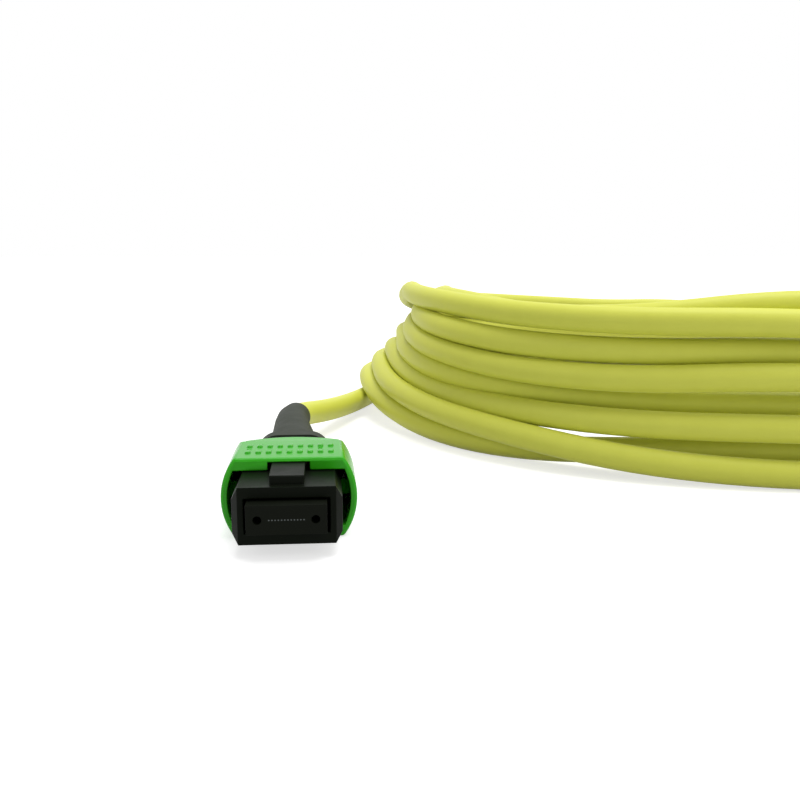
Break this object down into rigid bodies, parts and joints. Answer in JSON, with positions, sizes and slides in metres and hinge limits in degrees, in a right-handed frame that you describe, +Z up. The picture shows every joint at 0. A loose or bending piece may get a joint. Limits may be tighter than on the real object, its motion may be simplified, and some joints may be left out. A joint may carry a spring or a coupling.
{
  "type": "fibre patch cord",
  "caption": "Multi-fibre patch cord: flat push-on connectors with a green pull-back sleeve, guide holes and a rear boot on a yellow-green round cable, wound into a loose coil.",
  "frame": {"origin": "middle of the near connector's mating face, where its axis meets the polished end of the ferrule", "axes": "-Y is the way the near connector plugs in, +Y runs back along the cable, +Z is up on the key side, and +X is to the right when the connector is seen from its mating face with the key on top"},
  "size_m": [0.1282, 0.1298, 0.0209],
  "materials": {
    "green_plastic": "glossy moulded PBT",
    "black_resin": "satin moulded resin",
    "ferrule_resin": "glass-filled resin, polished end",
    "white_resin": "natural resin",
    "soft_black_rubber": "soft rubber",
    "grey_rubber": "matt moulded elastomer",
    "spring_steel": "bright drawn wire",
    "crimp_metal": "plated",
    "aramid": "yellow yarn",
    "fibre_coating": "acrylate-coated fibres",
    "cable_jacket": "satin low-smoke jacket"
  },
  "bodies": {
    "cable_assembly": {"near_ferrule_spring": "spring_steel", "near_spring_push": "black_resin", "near_inner_housing": "black_resin", "near_sleeve_spring_left": "spring_steel", "near_sleeve_spring_right": "spring_steel", "near_aramid_yarn": "aramid", "near_crimp_ring": "crimp_metal", "near_fibre_ribbon": "fibre_coating", "near_strain_relief_boot": "grey_rubber", "far_ferrule_spring": "spring_steel", "far_spring_push": "black_resin", "far_inner_housing": "black_resin", "far_sleeve_spring_left": "spring_steel", "far_sleeve_spring_right": "spring_steel", "far_aramid_yarn": "aramid", "far_crimp_ring": "crimp_metal", "far_fibre_ribbon": "fibre_coating", "far_strain_relief_boot": "grey_rubber", "cable_lead_in": "cable_jacket", "cable_coil": "cable_jacket", "cable_lead_out": "cable_jacket"},
    "near_sleeve": {"near_coupling_sleeve": "green_plastic"},
    "near_ferrule": {"near_ferrule": "ferrule_resin", "near_ferrule_boot": "soft_black_rubber", "near_pin_keeper": "white_resin"},
    "far_sleeve": {"far_coupling_sleeve": "green_plastic"},
    "far_ferrule": {"far_ferrule": "ferrule_resin", "far_ferrule_boot": "soft_black_rubber", "far_pin_keeper": "white_resin"}
  },
  "joints": [
    {"name": "near_sleeve_slide", "type": "slide", "parent": "cable_assembly", "child": "near_sleeve", "axis": [0, 1, 0], "range_m": [0, 0.0021], "stiffness_N_per_m": 600, "springref_m": -0.0035, "deforming": ["near_sleeve_spring_left", "near_sleeve_spring_right"]},
    {"name": "near_ferrule_float", "type": "slide", "parent": "cable_assembly", "child": "near_ferrule", "axis": [0, 1, 0], "range_m": [0, 0.001], "stiffness_N_per_m": 2500, "springref_m": -0.0035, "deforming": ["near_ferrule_spring", "near_fibre_ribbon"]},
    {"name": "far_sleeve_slide", "type": "slide", "parent": "cable_assembly", "child": "far_sleeve", "axis": [0, 1, 0], "range_m": [0, 0.0021], "stiffness_N_per_m": 600, "springref_m": -0.0035, "deforming": ["far_sleeve_spring_left", "far_sleeve_spring_right"]},
    {"name": "far_ferrule_float", "type": "slide", "parent": "cable_assembly", "child": "far_ferrule", "axis": [0, 1, 0], "range_m": [0, 0.001], "stiffness_N_per_m": 2500, "springref_m": -0.0035, "deforming": ["far_ferrule_spring", "far_fibre_ribbon"]}
  ]
}
